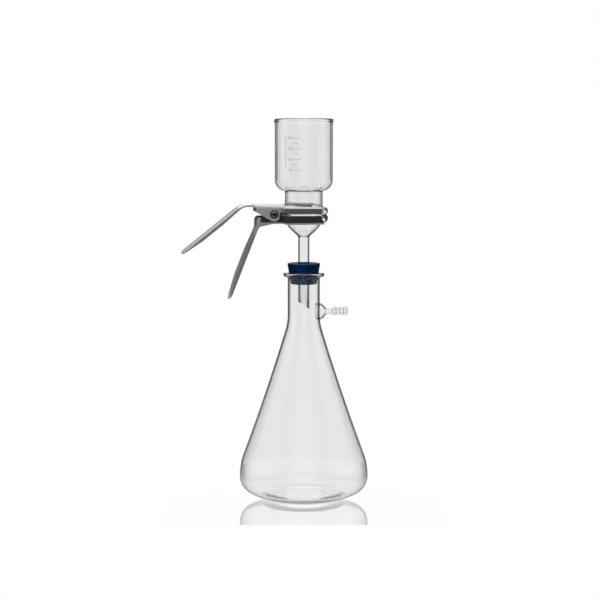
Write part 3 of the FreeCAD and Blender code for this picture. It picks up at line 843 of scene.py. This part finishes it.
rubber, tree, shader = start_material("navy_rubber")
place = object_place(tree)
x = axes(tree, place)[0]
bloom = noise(tree, place, scale=70, detail=4.0)
patch = ramp_between(tree, bloom, 0.35, 0.7, 0.0, 1.0)
colour = two_tones(tree, patch, (0.0002, 0.0095, 0.040), (0.0005, 0.020, 0.074))
# Painted shade towards the stopper's two sides, and a painted highlight along one stripe in front.
from_middle = calculate(tree, "ABSOLUTE", x)
side_shade = ramp_between(tree, from_middle, front_half, side_half, 1.0, side_shade_tone)
from_highlight = calculate(tree, "ABSOLUTE", calculate(tree, "SUBTRACT", x, highlight_x))
highlight_stripe = ramp_between(tree, from_highlight, highlight_half, highlight_fade, highlight_tone, 1.0)
colour = scaled(tree, colour, calculate(tree, "MULTIPLY", side_shade, highlight_stripe))
join(tree, colour, shader.inputs["Base Color"])
rough = calculate(tree, "MULTIPLY_ADD", patch, 0.12, 0.42)
join(tree, rough, shader.inputs["Roughness"])
shader.inputs["Specular IOR Level"].default_value = 0.04
bump(tree, shader, noise(tree, place, scale=900, detail=2.0), 0.00015)
dress("stopper", rubber)

# %% [markdown]
# The jaws are stamped from aluminium sheet and tumbled, then anodised: a satin metal with faint
# marks along the sheet's rolling direction and a cloudy tone. The marks are noise stretched along
# each jaw. Light and shade are painted into the colour as well: painted highlights on the handles
# and on the folded outer edges, and painted shade on the prongs' walls, which face down and away.

# %% Places on the jaws
upper_points, lower_points = (
    [v.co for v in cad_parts[node].data.vertices] for node in ("upper_jaw", "lower_jaw")
)
handle_x, prongs_x = -0.08, -0.02
handle_edge = min(co.y for co in upper_points if co.x < handle_x)
lower_edge = min(co.z for co in lower_points if co.x > prongs_x)
print("the handle's near edge lies at y", round(handle_edge / millimetre, 1), "mm")
print("the lower prongs reach down to", round(lower_edge / millimetre, 1), "mm")

# %% Aluminium
# The handle's painted light and shade: where it starts along X, and its tones across the handle
# and at the near rim.
handle_start, handle_full = -0.060, -0.066
near_y, far_y = -0.002, 0.004
near_tone, far_tone = 1.05, 0.78
rim_start, rim_end = handle_edge + 0.0005, handle_edge + 0.0012
rim_tone = 0.45


def handle_shade(tree, x, y):
    """Painted light and shade across the handle: it falls off to the far side, and the near rim
    gets painted shade.
    """
    across_handle = ramp_between(tree, y, near_y, far_y, near_tone, far_tone)
    near_rim_shade = ramp_between(tree, y, rim_start, rim_end, rim_tone, 1.0)
    on_handle = ramp_between(tree, x, handle_full, handle_start, 1.0, 0.0)
    shade = calculate(tree, "MULTIPLY", across_handle, near_rim_shade)
    shade = calculate(tree, "SUBTRACT", shade, 1.0)
    return calculate(tree, "MULTIPLY_ADD", shade, on_handle, 1.0)


jaw_rough = 0.33
rolled_stretch = (60, 1400, 1400)


def satin_aluminium(name, base, handle, prongs, edge_highlight):
    """Rolled and anodised sheet, with painted highlights on its handle and painted shade on its
    prongs.

    The lugs round the rivet keep the base tone, and handle is the share of the painted highlight
    on the handle. The prongs' walls get the darkest painted shade: prongs gives where they start
    and end along X and their share. The folded outer edge gets a painted highlight: the last
    argument gives the height where that starts, the height where it is full, and its share.
    """
    material, tree, shader = start_material(name)
    place = object_place(tree)
    x, y, z = axes(tree, place)
    stretched = add_node(tree, "Mapping", Scale=rolled_stretch)
    join(tree, place, stretched.inputs["Vector"])
    rolling = noise(tree, stretched.outputs[0], scale=1.0, detail=3.0)
    cloud = noise(tree, place, scale=130, detail=5.0)
    half_rolling, half_cloud = (calculate(tree, "MULTIPLY", v, 0.5) for v in (rolling, cloud))
    tone = calculate(tree, "ADD", half_rolling, half_cloud)
    tone = ramp_between(tree, tone, 0.3, 0.7, 0.0, 1.0)
    dark = (base * 0.86, base * 0.86, base * 0.85)
    colour = two_tones(tree, tone, dark, (base, base, base * 0.99))
    # Painted highlight on the handle, painted shade on the prongs' walls, painted highlight on the
    # folded edge.
    share = ramp_between(tree, x, handle_full, handle_start, handle, 1.0)
    walls = ramp_between(tree, x, prongs[0], prongs[1], 1.0, prongs[2])
    edge = ramp_between(tree, z, edge_highlight[0], edge_highlight[1], 0.0, edge_highlight[2])
    share = calculate(tree, "MULTIPLY", share, calculate(tree, "MAXIMUM", walls, edge))
    share = calculate(tree, "MULTIPLY", share, handle_shade(tree, x, y))
    join(tree, scaled(tree, colour, share), shader.inputs["Base Color"])
    shader.inputs["Metallic"].default_value = 0.55
    rough = calculate(tree, "MULTIPLY_ADD", tone, -0.08, jaw_rough + 0.08)
    join(tree, rough, shader.inputs["Roughness"])
    bump(tree, shader, rolling, 0.00004)
    return material


# Painted shade on each jaw's prong walls and a painted highlight along its folded edge.
upper_wall_shade, lower_wall_shade = (-0.034, -0.026, 0.30), (-0.058, -0.054, 0.08)
upper_edge_highlight = (joint_height + 0.0088, joint_height + 0.0092, 1.6)
lower_edge_highlight = (lower_edge + 0.0030, lower_edge + 0.0014, 0.9)
upper_satin = satin_aluminium(
    "jaw_satin_upper", base=0.52, handle=1.2, prongs=upper_wall_shade, edge_highlight=upper_edge_highlight
)
lower_satin = satin_aluminium(
    "jaw_satin_lower", base=0.56, handle=1.15, prongs=lower_wall_shade, edge_highlight=lower_edge_highlight
)
dress("upper_jaw", upper_satin)
dress("lower_jaw", lower_satin)

# %% [markdown]
# The rivet and its washer are steel that has darkened with handling, and the rivet's raised ring
# gets a painted highlight. The spring's wire is drawn steel and wears the same kind of finish.

# %% Steel
pivot = [(low + high) / 2 for low, high in zip(*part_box("pivot_pin"))]
ring_radius = 0.0030
ring_core, ring_fade = 0.0003, 0.0009


def steel(name, dark, light, rough, grain_scale, ring_highlight=0.0):
    """Steel between two tones, mottled by noise; the last argument lifts a painted highlight on a
    ring round the pivot.

    The way to the ring is the way to the pivot's axis, the root of the squares along X and Z
    added up, less the ring's radius.
    """
    material, tree, shader = start_material(name)
    place = object_place(tree)
    x, y, z = axes(tree, place)
    mottle = noise(tree, place, scale=grain_scale, detail=4.0)
    tone = ramp_between(tree, mottle, 0.35, 0.65, 0.0, 1.0)
    beside = calculate(tree, "SUBTRACT", x, pivot[0])
    over = calculate(tree, "SUBTRACT", z, pivot[2])
    beside = calculate(tree, "MULTIPLY", beside, beside)
    from_axis = calculate(tree, "SQRT", calculate(tree, "MULTIPLY_ADD", over, over, beside))
    from_ring = calculate(tree, "SUBTRACT", from_axis, ring_radius)
    from_ring = calculate(tree, "ABSOLUTE", from_ring)
    # Painted highlight on the raised ring round the pivot.
    painted_ring_highlight = ramp_between(tree, from_ring, ring_core, ring_fade, 1.0 + ring_highlight, 1.0)
    colour = scaled(tree, two_tones(tree, tone, dark, light), painted_ring_highlight)
    join(tree, colour, shader.inputs["Base Color"])
    shader.inputs["Metallic"].default_value = 1.0
    rough = calculate(tree, "MULTIPLY_ADD", tone, 0.1, rough)
    join(tree, rough, shader.inputs["Roughness"])
    bump(tree, shader, mottle, 0.00003)
    return material


# The rivet's raised ring gets a painted highlight.
rivet_steel = steel(
    "rivet_steel", dark=(0.035, 0.035, 0.035), light=(0.06, 0.06, 0.058), rough=0.3,
    grain_scale=700, ring_highlight=8.0,
)
washer_steel = steel(
    "washer_steel", dark=(0.35, 0.35, 0.34), light=(0.45, 0.45, 0.44), rough=0.3,
    grain_scale=500,
)
spring_steel = steel(
    "spring_wire", dark=(0.30, 0.30, 0.29), light=(0.42, 0.42, 0.41), rough=0.24,
    grain_scale=900,
)
dress("pivot_pin", rivet_steel)
dress("pin_washer", washer_steel)

# %% [markdown]
# The spring's wire turns with the clamp: one leg stays with the upper jaw, the other follows the
# lower jaw, and the coil between them winds up. The piece made here takes the wire from the frame
# and finds where its coil starts and ends along the pivot.

# %% Torsion spring
coil_reach = 0.0042
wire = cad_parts["torsion_spring"]
wire_mesh = wire.data.copy()
wire_mesh.transform(wire.matrix_world)
wire_mesh.materials.clear()
wire_mesh.materials.append(spring_steel)
spring = add_object("spring_wire_coil", wire_mesh)
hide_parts("torsion_spring")

wire_points = np.empty(len(wire_mesh.vertices) * 3)
wire_mesh.vertices.foreach_get("co", wire_points)
wire_points = wire_points.reshape(-1, 3)
from_pin = np.hypot(wire_points[:, 0] - pivot[0], wire_points[:, 2] - pivot[2])
coil = wire_points[from_pin < coil_reach]
coil_start, coil_end = coil[:, 1].min(), coil[:, 1].max()
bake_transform(spring)
coil_mm = [round(float(y) / millimetre, 1) for y in (coil_start, coil_end)]
print("coil from", coil_mm[0], "to", coil_mm[1], "mm along Y")

# %% [markdown]
# The cup's graduations are screen-printed white enamel, fired on the outside of the glass: a
# long line and a figure every 50 mL, a short line half-way between, and an upright line on
# their left. Each mark is a thin ribbon that lies on the cup. A ribbon follows a pen path in
# the plane of distance along the wall and height, and the plane is then rolled onto the cup,
# so the figures bend with the glass as print does.

# %% Enamel ribbons
enamel_radius = cup_radius * millimetre + 0.00005
enamel_thickness = 0.00008


def rolled(points):
    """Rolls flat points (run along the wall, height, depth) onto the cup: angle = run / r."""
    angle = points[..., 0] / enamel_radius
    r = enamel_radius + points[..., 2]
    return np.stack((r * np.cos(angle), r * np.sin(angle), points[..., 1]), -1)


def ribbon(path, width):
    """Grid along a pen path: each point, moved half the width to either side, at two depths."""
    path = np.asarray(path, float)
    along = np.gradient(path, axis=0)
    along /= np.linalg.norm(along, axis=1, keepdims=True)
    aside = np.stack((-along[:, 1], along[:, 0]), 1)
    steps = np.array([-0.5, 0.5, 0.5, -0.5]) * width
    depth = np.array([0, 0, 1, 1]) * enamel_thickness
    flat = path[:, None, :] + aside[:, None, :] * steps[None, :, None]
    depth = np.broadcast_to(depth[None, :, None], flat.shape[:2] + (1,))
    return np.concatenate((flat, depth), -1)


# %% Figures as pen strokes
def bow(centre, radii, start, end, steps):
    """Part of an ellipse: centre plus (rx cos a, ry sin a) for a from start to end, degrees."""
    a = np.radians(np.linspace(start, end, steps))
    return np.stack((centre[0] + radii[0] * np.cos(a), centre[1] + radii[1] * np.sin(a)), 1)


two_head = bow((0.3, 0.72), (0.27, 0.28), 160, -40, 16)
two_foot = [(0.28, 0.22), (0.02, 0.0), (0.3, 0.0), (0.6, 0.0)]
five_flag = [(0.55, 1.0), (0.32, 1.0), (0.12, 1.0), (0.08, 0.56)]
five_bowl = bow((0.28, 0.32), (0.29, 0.31), 125, -150, 18)
pen_paths = {
    "0": bow((0.3, 0.5), (0.28, 0.5), 90, 450, 28),
    "1": np.array([(0.1, 0.78), (0.34, 1.0), (0.34, 0.5), (0.34, 0.0)]),
    "2": np.vstack((two_head, two_foot)),
    "5": np.vstack((five_flag, five_bowl)),
}
print("pen paths for", ", ".join(pen_paths), "in a box 0.6 wide and 1 high")

# %% [markdown]
# The marks' places are given as angles about the cup's axis and as heights. One loop goes down
# the scale: it draws the long line, then the short line under it, then the digits of the
# figure, one beside the other.

# %% Places of the marks
upright_at, figure_at = -135.5, -131.0
upright_low, upright_high = 0.4187, 0.4570
long_start, long_end = -117.5, -102.8
short_start, short_end = -122, -109.3
mark_high = 0.4553
mark_step = 0.01303
upright_width, line_width, figure_width = 0.0006, 0.00042, 0.00036
figure_height, figure_pitch, figure_narrow = 0.0030, 0.0024, 0.95


def run(degrees):
    """Distance along the wall of a place given as an angle about the cup's axis."""
    return math.radians(degrees) * enamel_radius


def straight(start, end, count):
    """Straight pen path (1 - t) start + t end between two places (degrees, height)."""
    t = np.linspace(0, 1, count)[:, None]
    first, last = (np.array((run(place[0]), place[1])) for place in (start, end))
    return (1 - t) * first + t * last


upright = straight((upright_at, upright_low), (upright_at, upright_high), 8)
strokes = [(upright, upright_width)]
figures = ("250", "200", "150", "100")
for index, figure in enumerate(figures):
    z = mark_high - index * mark_step
    strokes.append((straight((long_start, z), (long_end, z), 24), line_width))
    if figure != figures[-1]:
        half = z - mark_step / 2
        strokes.append((straight((short_start, half), (short_end, half), 20), line_width))
    for digit_index, digit in enumerate(figure):
        corner = (run(figure_at) + digit_index * figure_pitch, z - figure_height / 2)
        path = pen_paths[digit] * figure_height * np.array((figure_narrow, 1.0))
        strokes.append((path + np.array(corner), figure_width))
print(len(strokes), "strokes of the pen")

# %% Graduations
enamel, tree, shader = start_material("white_enamel")
speckle = noise(tree, object_place(tree), scale=2500, detail=2.0)
tone = ramp_between(tree, speckle, 0.3, 0.7, 0.0, 1.0)
colour = two_tones(tree, tone, (0.30, 0.31, 0.30), (0.36, 0.37, 0.36))
join(tree, colour, shader.inputs["Base Color"])
shader.inputs["Roughness"].default_value = 0.5

points, faces, count = [], [], 0
for path, width in strokes:
    grid = ribbon(path, width)
    points.append(rolled(grid).reshape(-1, 3))
    faces += shifted(grid_faces(grid, False), count)
    count += len(points[-1])
graduations = make_piece("graduations", np.vstack(points), faces, enamel, "unit")
